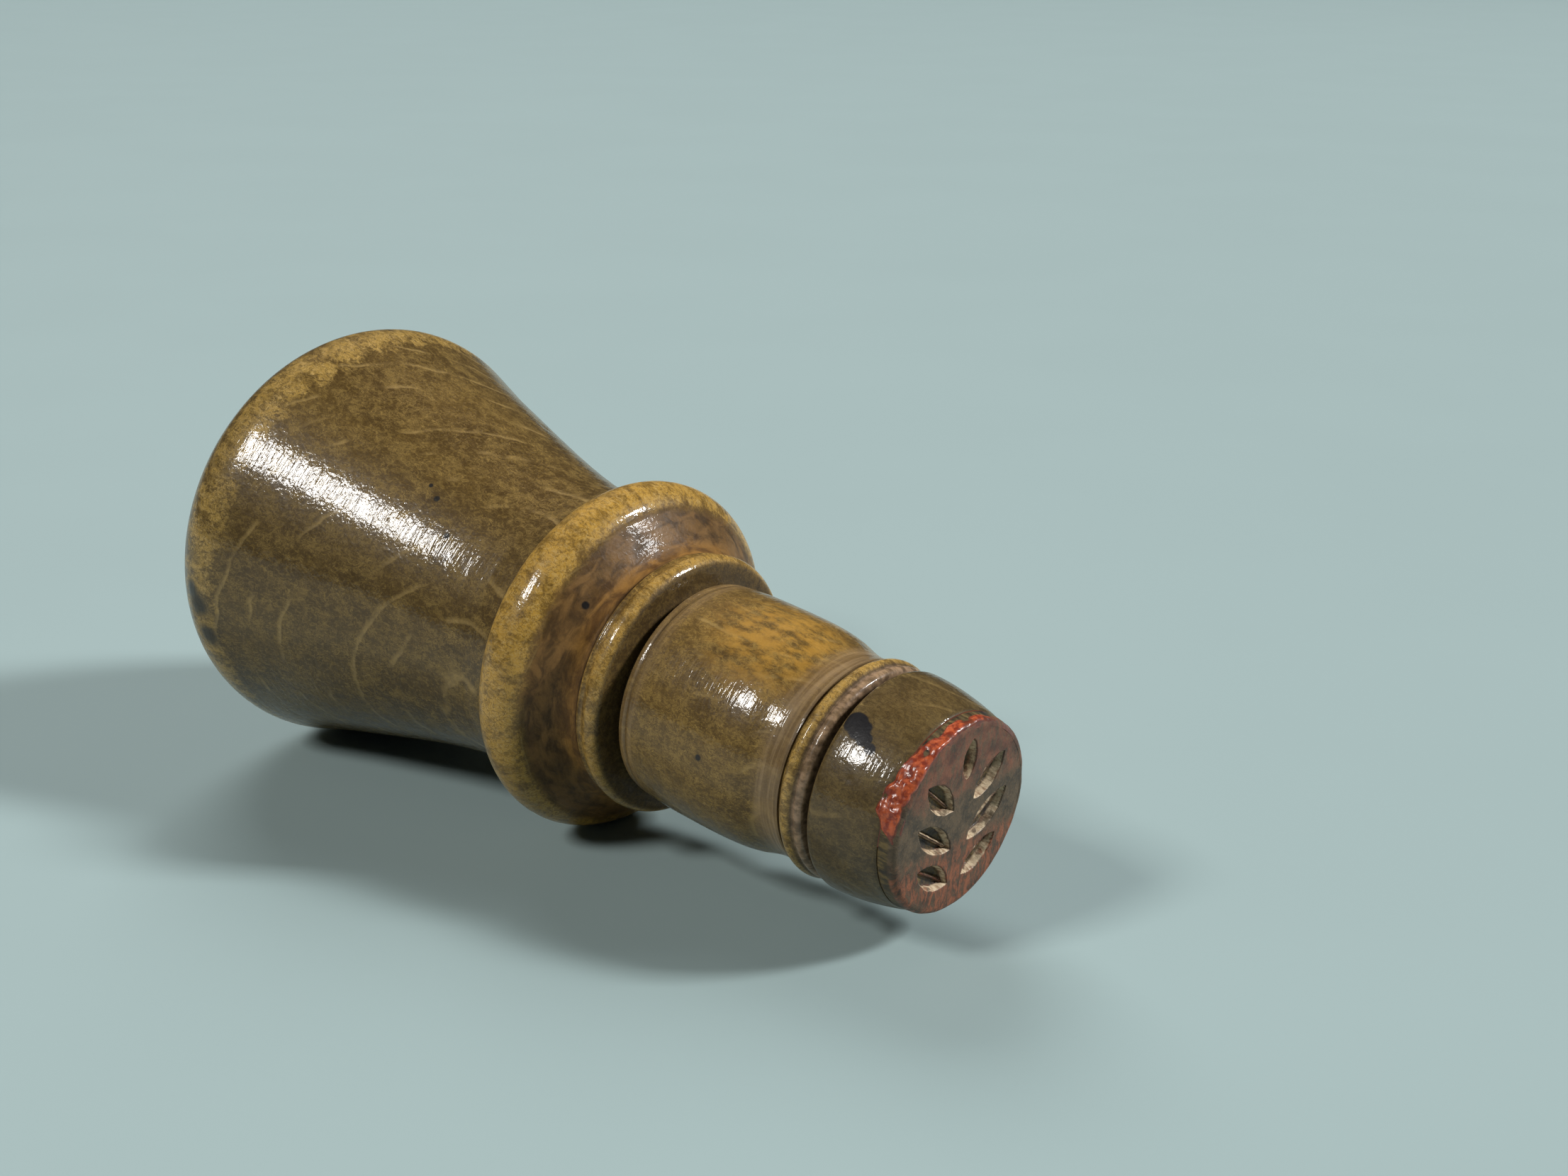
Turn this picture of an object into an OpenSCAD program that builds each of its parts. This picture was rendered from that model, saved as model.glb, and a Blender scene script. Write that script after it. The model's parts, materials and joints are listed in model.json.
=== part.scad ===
// Turned hand stamp. Turned wooden sections are threaded on a core dowel and glued,
// and a carved end-grain die plate closes the front.
// The stamp lies on its side: the crest of the collar and the rim of the palm knob
// touch the surface at Z = 0, and the die faces +X.
// Each section is drawn upright, with its axis on Z and the die face at height 0,
// and lay_down() then puts it in place.

/* [Die plate] */
// Radius of the die plate's side
die_r = 7.9; // [7.4:0.1:8.1]
// Thickness of the die plate
die_t = 1.6; // [1.4:0.1:2]
// Radius of the rounded edge around the die face
die_edge_r = 0.6; // [0.3:0.1:0.8]
// Depth of the carved recesses
carve_depth = 0.9; // [0.4:0.1:1.2]
// Size of the carved sprig against its drawn size
carve_size = 1; // [0.8:0.05:1.05]

/* [Head] */
// Length of the head
head_len = 6.5; // [6:0.1:8]
// Radius of the head at the die plate
head_front_r = 8.1; // [8:0.05:8.5]
// Largest radius of the head
head_r = 9.03; // [8.8:0.01:9.4]
// Radius of the head's rounded back shoulder
head_shoulder_r = 0.55; // [0.3:0.05:0.8]
// Radius at the bottom of the groove between head and neck ring
groove_r = 7.9; // [7.5:0.1:8.2]

/* [Neck ring] */
// Length of the neck ring
neck_len = 2.7; // [2.7:0.1:3.2]
// Crest radius of its front bead
neck_front_r = 8.85; // [8.6:0.05:9]
// Crest radius of its back bead
neck_back_r = 9.07; // [8.9:0.01:9.3]

/* [Barrel] */
// Length of the barrel
barrel_len = 16.8; // [15:0.1:19]
// Largest radius of the barrel
barrel_r = 9.58; // [9.4:0.01:10]
// Radius at the bottom of the cove behind the neck ring
barrel_cove_r = 8.42; // [8:0.01:8.6]
// Radius of the barrel at its back lip
barrel_lip_r = 9.38; // [9.2:0.01:9.5]

/* [Bead ring] */
// Length of the bead ring
bead_len = 2.9; // [2.9:0.1:3.4]
// Crest radius of the bead
bead_r = 11.25; // [11:0.05:11.8]
// Radius of the bead's own round section
bead_round_r = 0.95; // [0.85:0.05:1]

/* [Collar] */
// Length of the collar
collar_len = 8.5; // [8.2:0.1:9.5]
// Crest radius of the collar
collar_r = 15.25; // [14.6:0.05:16]
// Radius of the collar's own round section
collar_round_r = 2.8; // [2.4:0.05:2.9]

/* [Palm knob] */
// Distance from the collar's back to the widest point of the knob
knob_len = 31.2; // [30:0.2:37]
// Radius at the waist of the knob
waist_r = 12.6; // [12:0.1:13]
// Largest radius of the knob
knob_r = 19.4; // [18.6:0.05:20.5]
// Radius of the knob's rounded rim
knob_rim_r = 5; // [4:0.1:5.6]
// Radius of the gently domed palm end
knob_dome_r = 80; // [60:5:140]

/* [Core dowel] */
// Radius of the core dowel
dowel_r = 3; // [2.5:0.1:3.5]
// Length of the core dowel
dowel_len = 51.2; // [46:0.2:54]
// Glue gap around the dowel and the die plate's tenon
glue_gap = 0.05; // [0.02:0.01:0.1]
// Length of the tenon behind the die plate
tenon_len = 2.4; // [1.5:0.1:2.6]

/* [Hidden] */
$fn = 96;
eps = 0.01;

// Steps of a long arc, of a short one and of a curve
long_steps = 16;
short_steps = 7;
curve_steps = 9;

// Heights of the seams above the die face, from front to back
head_z = die_t;
neck_z = head_z + head_len;
barrel_z = neck_z + neck_len;
bead_z = barrel_z + barrel_len;
collar_z = bead_z + bead_len;
knob_z = collar_z + collar_len;

// The bore that every section has for the dowel, with room for glue at both ends
bore_r = dowel_r + glue_gap;
dowel_front_room = 0.3;
dowel_back_room = 0.5;
dowel_chamfer = 0.5;
dowel_z = head_z + tenon_len + dowel_front_room;
bore_end_z = dowel_z + dowel_len + dowel_back_room;

// Below, a shape's points and its curve handles are [radius, height], and a span is the
// start and end angle of an arc, where 0 points outwards and 90 towards the knob.

// Die plate
die_edge = [die_r - die_edge_r, die_edge_r];
die_edge_span = [-90, 0];
die_back_r = (die_r + head_front_r) / 2;

// Head
head_front = [head_front_r, head_z];
head_front_handle = [0.45, 1.6];
head_back_handle = [0, -1.9];
head_shoulder_back = 0.35;
head_shoulder = [head_r - head_shoulder_r, neck_z - head_shoulder_back - head_shoulder_r];
head_shoulder_span = [9, 80];

// The groove between head and neck ring opens by this much on both sides
groove_lip = 0.1;

// Neck ring
neck_front_round_r = 0.5;
neck_front_at = 0.72;
neck_front_bead = [neck_front_r - neck_front_round_r, neck_z + neck_front_at];
neck_front_span = [-70, 40];
neck_back_round_r = 0.68;
neck_back_at = 1.78;
neck_back_bead = [neck_back_r - neck_back_round_r, neck_z + neck_back_at];
neck_back_span = [-35, 75];
neck_foot_r = barrel_cove_r + 0.1;

// Barrel: a cove, a swelling to the crown, a slow fall to the lip and a small step
cove_start = [barrel_cove_r + 0.33, barrel_z];
cove_start_handle = [-0.33, 1.2];
cove_end = [8.9, barrel_z + 3.4];
cove_end_handle = [-0.32, -1.2];
swell_start = cove_end + [0.04, 0.15];
swell_start_handle = [0.55, 1.5];
crown_share = 0.62;
crown = [barrel_r, barrel_z + crown_share * barrel_len];
crown_flat = 0.3;
crown_handle = [0, 3.4];
lip_len = 1.3;
lip = [barrel_lip_r + 0.04, bead_z - lip_len];
lip_handle = [0.1, -1.3];
lip_line = lip + [-0.14, 0.15];
lip_step = [barrel_lip_r, bead_z - lip_len + 0.35];
lip_edge = lip_step + [-0.06, 0.45];
lip_foot = lip_step + [-0.3, 0.65];
barrel_back_r = 8.7;

// Bead ring
bead_foot_r = 8.6;
bead_foot_len = 0.2;
bead_wall_len = 0.38;
bead = [bead_r - bead_round_r, bead_z + 0.4 + bead_round_r];
bead_span = [-70, 48];
fillet_r = 0.3;
fillet = [bead_r - 0.55, collar_z - 0.4];
fillet_span = [-40, 75];
bead_back_r = bead_r - 0.65;

// Collar: a hollow slope, a soft crease and a round bead
collar_back = 0.2;
collar_bead = [collar_r - collar_round_r, knob_z - collar_back - collar_round_r];
collar_span = [-65, 74];
collar_gap = 6;
slope_foot = [bead_back_r, collar_z];
slope_foot_handle = [0.3, 1.2];
slope_top = collar_bead + collar_round_r * [cos(collar_span[0]), sin(collar_span[0])];
slope_top_handle = [-1.1, -0.95];
collar_back_r = waist_r + 0.2;

// Palm knob: a straight waist, a flare in two curves, a round rim and a dome
knob_front_r = waist_r + 0.15;
waist_at = 3;
waist = [waist_r, knob_z + waist_at];
waist_handle = [0.13, 5.5];
flare_rise = 4.38;
flare_share = 0.73;
flare_mid = [waist_r + flare_rise, knob_z + flare_share * knob_len];
flare_slope = [0.28, 1];
flare_handle = 6;
flare_gap = 0.9;
rim_handle = 2;
knob_rim = [knob_r - knob_rim_r, knob_z + knob_len];
rim_start = 18;
rim_gap = 4;
rim_meet = knob_rim + knob_rim_r * [cos(-rim_start), sin(-rim_start)];
rim_slope = [tan(rim_start), 1];

// The rim meets the dome on a common tangent
dome_half = asin(knob_rim[0] / (knob_dome_r - knob_rim_r));
dome_centre = [0, knob_rim[1] - (knob_dome_r - knob_rim_r) * cos(dome_half)];
dome_gap_share = 0.85;

// The surface touches the collar's bead and the knob's rim: a common tangent of two circles
contact = knob_rim - collar_bead;
tilt = atan2(contact[0], contact[1]) + asin((knob_rim_r - collar_round_r) / norm(contact));
axis_h = collar_bead[0] * cos(tilt) - collar_bead[1] * sin(tilt) + collar_round_r;

// The middle of the whole stamp along X is at X = 0
front_x = die_edge[0] * sin(tilt) - die_edge[1] * cos(tilt) + die_edge_r;
back_x = -dome_centre[1] * cos(tilt) - knob_dome_r;
face_x = -(front_x + back_x) / 2;

// The sprig's recesses as [length, width, turn, up, right], seen from the front: three pairs of
// leaves along a stem, and a leaf at its tip. The stem itself, down the middle, stays uncut.
SPRIG = [
    [3.4, 1.7, 4, 4.9, 0.1],
    [4.5, 2.1, 48, 2.75, 2.85],
    [4.7, 2.2, 130, 2.5, -2.95],
    [5.5, 2.3, 54, -0.6, 3.2],
    [5.3, 2.2, 124, -0.85, -3.1],
    [4.5, 2, 58, -3.95, 2.75],
    [4.7, 2.1, 120, -4.15, -2.75]
];

// Points of an arc about c over a span of angles
function arc(c, r, span, n = long_steps) =
    [for (i = [0 : n]) let (a = span[0] + (span[1] - span[0]) * i / n) c + r * [cos(a), sin(a)]];

// Points of a cubic curve from a to b that leaves along a_handle and arrives along b_handle
function curve(a, a_handle, b_handle, b, n = curve_steps) =
    [for (i = [0 : n]) let (t = i / n, u = 1 - t)
        u * u * (u + 3 * t) * a + 3 * u * u * t * a_handle
            + t * t * (t + 3 * u) * b + 3 * u * t * t * b_handle];

module lay_down() {
    translate([face_x, 0, axis_h])
        rotate([0, tilt - 90, 0])
            children();
}

// A turned section: an outline of [radius, height] points, bored for the dowel from z0 to z1
module turned(outline, z0, z1) {
    difference() {
        rotate_extrude()
            polygon(outline);
        translate([0, 0, z0 - eps])
            cylinder(r = bore_r, h = z1 - z0 + 2 * eps);
    }
}

// A lens-shaped recess with vertical knife-cut walls
module lens_cut(length, width, turn, up, right) {
    side_r = (length * length + width * width) / (4 * width);
    translate([up, right, -eps])
        rotate([0, 0, turn])
            intersection_for (side = [-1, 1])
                translate([0, side * (side_r - width / 2), 0])
                    cylinder(r = side_r, h = carve_depth + eps);
}

module die_plate() {
    color([0.42, 0.25, 0.2])
        lay_down() {
            difference() {
                rotate_extrude()
                    polygon(concat(
                        [[0, 0]],
                        arc(die_edge, die_edge_r, die_edge_span),
                        [[die_back_r, die_t], [0, die_t]]
                    ));
                for (cut = SPRIG)
                    lens_cut(carve_size * cut[0], carve_size * cut[1], cut[2],
                        carve_size * cut[3], carve_size * cut[4]);
            }
            translate([0, 0, die_t - eps])
                cylinder(r = dowel_r, h = tenon_len + eps);
        }
}

module head() {
    color([0.45, 0.34, 0.18])
        lay_down()
            turned(concat(
                [[0, head_z]],
                curve(head_front, head_front_handle, head_back_handle, [head_r, head_shoulder[1]]),
                arc(head_shoulder, head_shoulder_r, head_shoulder_span, short_steps),
                [[groove_r + groove_lip, neck_z - groove_lip], [groove_r, neck_z], [0, neck_z]]
            ), head_z, neck_z);
}

module neck_ring() {
    color([0.5, 0.37, 0.2])
        lay_down()
            turned(concat(
                [[0, neck_z], [groove_r, neck_z], [groove_r + groove_lip, neck_z + groove_lip]],
                arc(neck_front_bead, neck_front_round_r, neck_front_span, short_steps),
                arc(neck_back_bead, neck_back_round_r, neck_back_span, short_steps),
                [[neck_foot_r, barrel_z], [0, barrel_z]]
            ), neck_z, barrel_z);
}

module barrel() {
    color([0.5, 0.38, 0.2])
        lay_down()
            turned(concat(
                [[0, barrel_z]],
                curve(cove_start, cove_start_handle, cove_end_handle, cove_end),
                curve(swell_start, swell_start_handle, -crown_handle, crown),
                curve(crown + [0, crown_flat], crown_handle, lip_handle, lip),
                [lip_line, lip_step, lip_edge, lip_foot, [barrel_back_r, bead_z], [0, bead_z]]
            ), barrel_z, bead_z);
}

module bead_ring() {
    color([0.55, 0.4, 0.18])
        lay_down()
            turned(concat(
                [[0, bead_z], [bead_foot_r, bead_z], [bead_foot_r, bead_z + bead_foot_len],
                    [bead[0] - bead_round_r, bead_z + bead_wall_len]],
                arc(bead, bead_round_r, bead_span),
                arc(fillet, fillet_r, fillet_span, short_steps),
                [[bead_back_r, collar_z], [0, collar_z]]
            ), bead_z, collar_z);
}

module collar() {
    color([0.5, 0.33, 0.17])
        lay_down()
            turned(concat(
                [[0, collar_z]],
                curve(slope_foot, slope_foot_handle, slope_top_handle, slope_top),
                arc(collar_bead, collar_round_r, [collar_span[0] + collar_gap, collar_span[1]]),
                [[collar_back_r, knob_z], [0, knob_z]]
            ), collar_z, knob_z);
}

module palm_knob() {
    color([0.47, 0.34, 0.17])
        lay_down()
            turned(concat(
                [[0, knob_z], [knob_front_r, knob_z]],
                curve(waist, waist_handle, -flare_handle * flare_slope, flare_mid),
                curve(flare_mid + flare_gap * flare_slope, rim_handle * flare_slope,
                    -rim_handle * rim_slope, rim_meet),
                arc(knob_rim, knob_rim_r, [rim_gap - rim_start, 90 - dome_half]),
                arc(dome_centre, knob_dome_r, [90 - dome_gap_share * dome_half, 90], short_steps)
            ), knob_z, bore_end_z);
}

module core_dowel() {
    color([0.72, 0.58, 0.36])
        lay_down()
            rotate_extrude()
                polygon([
                    [0, dowel_z],
                    [dowel_r - dowel_chamfer, dowel_z],
                    [dowel_r, dowel_z + dowel_chamfer],
                    [dowel_r, dowel_z + dowel_len - dowel_chamfer],
                    [dowel_r - dowel_chamfer, dowel_z + dowel_len],
                    [0, dowel_z + dowel_len]
                ]);
}

die_plate();
head();
neck_ring();
barrel();
bead_ring();
collar();
palm_knob();
core_dowel();
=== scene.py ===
"""Looks of the turned hand stamp: dense turned meshes, a knife-cut die, dried ink, old varnish."""
import json
import math

import bpy
import numpy as np
from mathutils import Matrix, Vector


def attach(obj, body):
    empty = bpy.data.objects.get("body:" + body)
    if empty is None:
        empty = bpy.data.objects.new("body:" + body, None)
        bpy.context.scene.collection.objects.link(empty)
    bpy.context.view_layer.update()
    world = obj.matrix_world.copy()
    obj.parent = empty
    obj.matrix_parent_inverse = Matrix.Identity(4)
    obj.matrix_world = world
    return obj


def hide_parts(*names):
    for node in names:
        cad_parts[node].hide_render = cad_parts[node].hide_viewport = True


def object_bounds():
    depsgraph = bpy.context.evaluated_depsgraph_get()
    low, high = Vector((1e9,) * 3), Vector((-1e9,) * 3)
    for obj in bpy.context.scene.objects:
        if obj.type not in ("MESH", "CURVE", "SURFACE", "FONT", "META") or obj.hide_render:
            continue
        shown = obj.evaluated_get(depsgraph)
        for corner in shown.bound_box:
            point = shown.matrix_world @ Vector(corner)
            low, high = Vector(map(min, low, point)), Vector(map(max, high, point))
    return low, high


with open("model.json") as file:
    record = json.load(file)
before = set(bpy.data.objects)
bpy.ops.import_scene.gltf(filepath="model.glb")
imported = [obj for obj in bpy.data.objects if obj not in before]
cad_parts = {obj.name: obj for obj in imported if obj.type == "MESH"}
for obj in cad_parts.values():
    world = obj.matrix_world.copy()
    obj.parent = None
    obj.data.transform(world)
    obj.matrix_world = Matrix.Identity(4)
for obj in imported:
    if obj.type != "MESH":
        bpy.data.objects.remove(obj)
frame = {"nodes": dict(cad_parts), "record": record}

cad_lo, cad_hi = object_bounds()
MM = 0.001

# ---------------------------------------------------------------- the turning axis
# Lathe coordinates, in millimetres: x upwards, y to the side, z from the die face to the knob.
die_mount = frame["record"]["mounts"][0]
FACE = np.array(die_mount["pos_m"])
AXIS = -np.array(die_mount["axis"])
AXIS /= np.linalg.norm(AXIS)
SIDE = np.array([0.0, 1.0, 0.0])
UPWARD = np.cross(SIDE, AXIS)
UPWARD /= np.linalg.norm(UPWARD)
TO_LATHE = np.array([UPWARD, SIDE, AXIS])


def to_world(points):
    """Row-frame metres of an (..., 3) array of lathe millimetres."""
    return points @ TO_LATHE * MM + FACE


# ---------------------------------------------------------------- small maths
def smooth(a, b, t):
    """0 at a, 1 at b, and a smooth step between."""
    u = np.clip((t - a) / (b - a), 0.0, 1.0)
    return u * u * (3.0 - 2.0 * u)


def lattice_noise(points, seed):
    """Smooth random values from -1 to 1, one lattice cell per unit, from a hash of each corner."""
    cell = np.floor(points).astype(np.int64)
    part = points - cell
    part = part * part * (3.0 - 2.0 * part)
    total = np.zeros(points.shape[:-1])
    for corner in range(8):
        weight = np.ones_like(total)
        key = np.full(total.shape, seed * 7919, dtype=np.int64)
        for axis, prime in enumerate((73856093, 19349663, 83492791)):
            bit = (corner >> axis) & 1
            weight *= part[..., axis] if bit else 1.0 - part[..., axis]
            key ^= (cell[..., axis] + bit) * prime
        key = (key ^ (key >> 13)) * 1274126177 & 0x7FFFFFFF
        key = (key ^ (key >> 15)) * 668265263 & 0x7FFFFFFF
        total += weight * ((key >> 8 & 0xFFFF) / 32767.5 - 1.0)
    return total


def cloud(points, size, seed, octaves):
    """Layered smooth noise whose largest features are about `size` mm."""
    total, weight, reach = 0.0, 1.0, 0.0
    for octave in range(octaves):
        total = total + weight * lattice_noise(points / size * 2 ** octave + 11.3 * octave, seed + octave)
        reach += weight
        weight *= 0.55
    return total / reach


def polar(z, radius, theta):
    """Lathe points from z, radius and angle, where angle 0 is up and -90 the near side."""
    return np.stack([radius * np.cos(theta), radius * np.sin(theta), z + 0.0 * radius * theta], axis=-1)


# ---------------------------------------------------------------- outlines from the frame
# Points closer together than SAME_POINT mm count as one. Those within HIDDEN_RADIUS mm of the axis
# are joinery, not outline. The outline has a corner where it bends by more than CORNER.
SAME_POINT = 0.035
HIDDEN_RADIUS = 4.0
CORNER = math.radians(34.0)


def outline_of(node):
    """The turned outline of a CAD node, as [z, radius] points from front to back, and its end."""
    mesh = frame["nodes"][node].data
    co = np.empty(3 * len(mesh.vertices))
    mesh.vertices.foreach_get("co", co)
    local = (co.reshape(-1, 3) - FACE) @ TO_LATHE.T / MM
    radius = np.hypot(local[:, 0], local[:, 1])
    pairs = np.stack([local[:, 2], radius], axis=1)[radius > HIDDEN_RADIUS]
    pairs = pairs[np.lexsort((pairs[:, 1], np.round(pairs[:, 0], 2)))]
    kept = [pairs[0]]
    for pair in pairs[1:]:
        if np.hypot(*(pair - kept[-1])) > SAME_POINT:
            kept.append(pair)
    return np.array(kept), float(local[:, 2].max())


def flowing(points, step):
    """A dense smooth line through the points that keeps their sharp corners."""
    leg = np.diff(points, axis=0)
    heading = np.arctan2(leg[:, 1], leg[:, 0])
    bend = np.abs((np.diff(heading) + math.pi) % (2 * math.pi) - math.pi)
    corners = [0] + [i + 1 for i in range(len(bend)) if bend[i] > CORNER] + [len(points) - 1]
    dense = [points[:1]]
    for first, last in zip(corners[:-1], corners[1:]):
        run = points[first:last + 1]
        run = np.concatenate([[2 * run[0] - run[1]], run, [2 * run[-1] - run[-2]]])
        for i in range(1, len(run) - 2):
            a, b, c, d = run[i - 1:i + 3]
            gaps = [max(1e-6, np.hypot(*(q - p))) ** 0.5 for p, q in ((a, b), (b, c), (c, d))]
            slope_b = ((b - a) / gaps[0] - (c - a) / (gaps[0] + gaps[1]) + (c - b) / gaps[1]) * gaps[1]
            slope_c = ((c - b) / gaps[1] - (d - b) / (gaps[1] + gaps[2]) + (d - c) / gaps[2]) * gaps[1]
            count = max(1, int(round(np.hypot(*(c - b)) / step)))
            t = (np.arange(1, count + 1) / count)[:, None]
            dense.append((2 * t ** 3 - 3 * t ** 2 + 1) * b + (t ** 3 - 2 * t ** 2 + t) * slope_b
                         + (3 * t ** 2 - 2 * t ** 3) * c + (t ** 3 - t ** 2) * slope_c)
    return np.concatenate(dense)


# ---------------------------------------------------------------- meshes
SHARP = math.radians(50.0)


def build(name, rows, wrap, material, slot, replaces=None, values=None):
    """A closed mesh from rings of lathe points. A row of one point is a pole."""
    starts = np.cumsum([0] + [len(row) for row in rows])
    count = max(len(row) for row in rows)
    around = np.arange(count)

    def numbers(row, step):
        """The vertex numbers around a row, shifted by step. A pole repeats its only point."""
        return starts[row] + ((around + step) % count if len(rows[row]) > 1 else 0 * around)

    faces = []
    pairs = list(zip(range(len(rows) - 1), range(1, len(rows))))
    if wrap:
        pairs.append((len(rows) - 1, 0))
    for low, high in pairs:
        a, b, c, d = numbers(low, 0), numbers(low, 1), numbers(high, 1), numbers(high, 0)
        if len(rows[low]) == 1:
            faces.extend(np.stack([a, c, d], axis=1).tolist())
        elif len(rows[high]) == 1:
            faces.extend(np.stack([a, b, c], axis=1).tolist())
        else:
            faces.extend(np.stack([a, b, c, d], axis=1).tolist())
    mesh = bpy.data.meshes.new(name)
    mesh.from_pydata(to_world(np.concatenate(rows)).tolist(), [], faces)
    for key, field in (values or {}).items():
        layer = mesh.attributes.new(key, "FLOAT", "POINT")
        layer.data.foreach_set("value", np.asarray(field, dtype=np.float32))
    mesh.polygons.foreach_set("use_smooth", np.ones(len(mesh.polygons), dtype=bool))
    mesh.set_sharp_from_angle(angle=SHARP)
    mesh.materials.append(material)
    mesh.update()
    piece = bpy.data.objects.new(name, mesh)
    bpy.context.scene.collection.objects.link(piece)
    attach(piece, "root")
    if replaces:
        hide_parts(replaces)


# In mm: the radius of the hidden bores, the fine open seams at the ends of each section, and how
# far the wood falls short of the CAD outline everywhere, by its wobble and by its tool marks.
BORE = 3.05
SEAM_WIDTH = 0.1
SEAM_DEPTH = 0.09
INSET = 0.012
WOBBLE = 0.035
TOOL_MARKS = 0.012


def out_of_true(points, theta, seed):
    """How far the hand-turned surface falls short of a true circle, in mm.

    It is least on the low side, where the stamp touches the floor.
    """
    wobble = WOBBLE * (0.5 + 0.5 * cloud(points, 7.0, seed, 2))
    marks = TOOL_MARKS * (0.5 + 0.5 * lattice_noise(points * [0.1, 0.1, 1.3], seed + 5))
    low_side = smooth(-0.6, -0.95, np.cos(theta))
    return INSET + (wobble + marks) * (1.0 - low_side)


def dents_of(seed, count, z0, z1, widest):
    """Random small dents as (z, angle, half width, depth)."""
    rng = np.random.default_rng(seed)
    for _ in range(count):
        yield (rng.uniform(z0, z1), rng.uniform(-math.pi, math.pi),
               rng.uniform(0.25, widest), rng.uniform(0.015, 0.06))


# In mm: how softly a darkened band of grime and painted shade ends, how wide a stretch of the outline
# a crest is measured against, how far in from the rim and out from the bore the flat ends have a ring,
# and how far the knob's pole stays inside the CAD outline.
SOOT_AND_SHADE_EDGE = 0.12
CREST_WIDTH = 0.9
RIM_RING = 0.6
MOUTH_RING = 0.2
POLE_INSET = 0.003


def turned_piece(node, step, segments, seed, material, slot, dents, wear, soot_and_shade, blind_end):
    """One turned section: its CAD outline at full density, slightly out of true and dented.

    soot lists the section's darkened bands, grime with painted shade, as (start, end, strength), from the
    die face in mm.
    The back is open for the dowel, unless blind_end says where a blind bore ends.
    """
    corners, end_z = outline_of(node)
    solid_back = blind_end is not None
    if solid_back:
        corners = np.concatenate([corners, [[end_z, 0.0]]])
    line = flowing(corners, step)
    if solid_back:
        line = line[:-1]
    along = np.concatenate([[0.0], np.cumsum(np.hypot(*np.diff(line, axis=0).T))])
    z, radius = line[:, 0], line[:, 1]
    seam = SEAM_DEPTH * np.exp(-along / SEAM_WIDTH)
    if not solid_back:
        seam = seam + SEAM_DEPTH * np.exp(-(along[-1] - along) / SEAM_WIDTH)
    theta = np.linspace(-math.pi, math.pi, segments, endpoint=False)[None, :]
    zz = z[:, None] + 0 * theta
    rr = radius[:, None] - seam[:, None] + 0 * theta
    tt = theta + 0 * zz
    points = polar(zz, rr, tt)
    short = out_of_true(points, tt, seed)
    for dent_z, dent_angle, half, depth in dents:
        arc = (tt - dent_angle + math.pi) % (2 * math.pi) - math.pi
        near = np.hypot(zz - dent_z, arc * rr) / half
        short = short + depth * np.exp(-near ** 2 * 2.0)
    rr = np.maximum(rr - short, 0.02)
    points = polar(zz, rr, tt)

    # Crests stand above a smoothed outline and are worn; grooves lie below it and are darkened with grime
    # and painted shade.
    spread = np.abs(along[:, None] - along[None, :])
    weight = np.exp(-(spread / CREST_WIDTH) ** 2)
    relief = radius - weight @ radius / weight.sum(axis=1)
    grime_and_shade = np.clip(-relief * 1.3, 0.0, 1.0)
    for start, end, strength in soot_and_shade:
        band = smooth(start - SOOT_AND_SHADE_EDGE, start + SOOT_AND_SHADE_EDGE, z) * smooth(end + SOOT_AND_SHADE_EDGE, end - SOOT_AND_SHADE_EDGE, z)
        grime_and_shade = np.maximum(grime_and_shade, strength * band)
    grime_and_shade = grime_and_shade[:, None] + 0 * tt
    worn = np.clip(relief * 1.5, 0.0, 1.0)[:, None] + 0 * tt
    if wear is not None:
        worn = np.clip(worn + wear(zz, tt), 0.0, 1.0)
    rows = list(points)
    fields = {"wear": list(worn), "grime_and_shade": list(grime_and_shade)}

    def add_ring(row_z, row_r, at_start=False):
        """Add an unworn, clean ring in front of the rows or behind them, or a pole of radius zero."""
        ring = np.array([[0.0, 0.0, row_z]])
        if row_r:
            ring = polar(row_z + 0 * theta[0], row_r + 0 * theta[0], theta[0])
        where = 0 if at_start else len(rows)
        rows.insert(where, ring)
        for key in fields:
            fields[key].insert(where, np.zeros(len(ring)))

    if solid_back:
        add_ring(end_z - POLE_INSET, 0.0)
        add_ring(z[0], BORE + MOUTH_RING, True)
        add_ring(z[0], BORE, True)
        add_ring(blind_end, BORE, True)
        add_ring(blind_end, 0.0, True)
    else:
        add_ring(z[-1], radius[-1] - RIM_RING)
        add_ring(z[-1], BORE)
        add_ring(z[0], BORE)
        add_ring(z[0], radius[0] - RIM_RING)
    values = {key: np.concatenate(field) for key, field in fields.items()}
    build(node, rows, not solid_back, material, slot, node, values)


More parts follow.
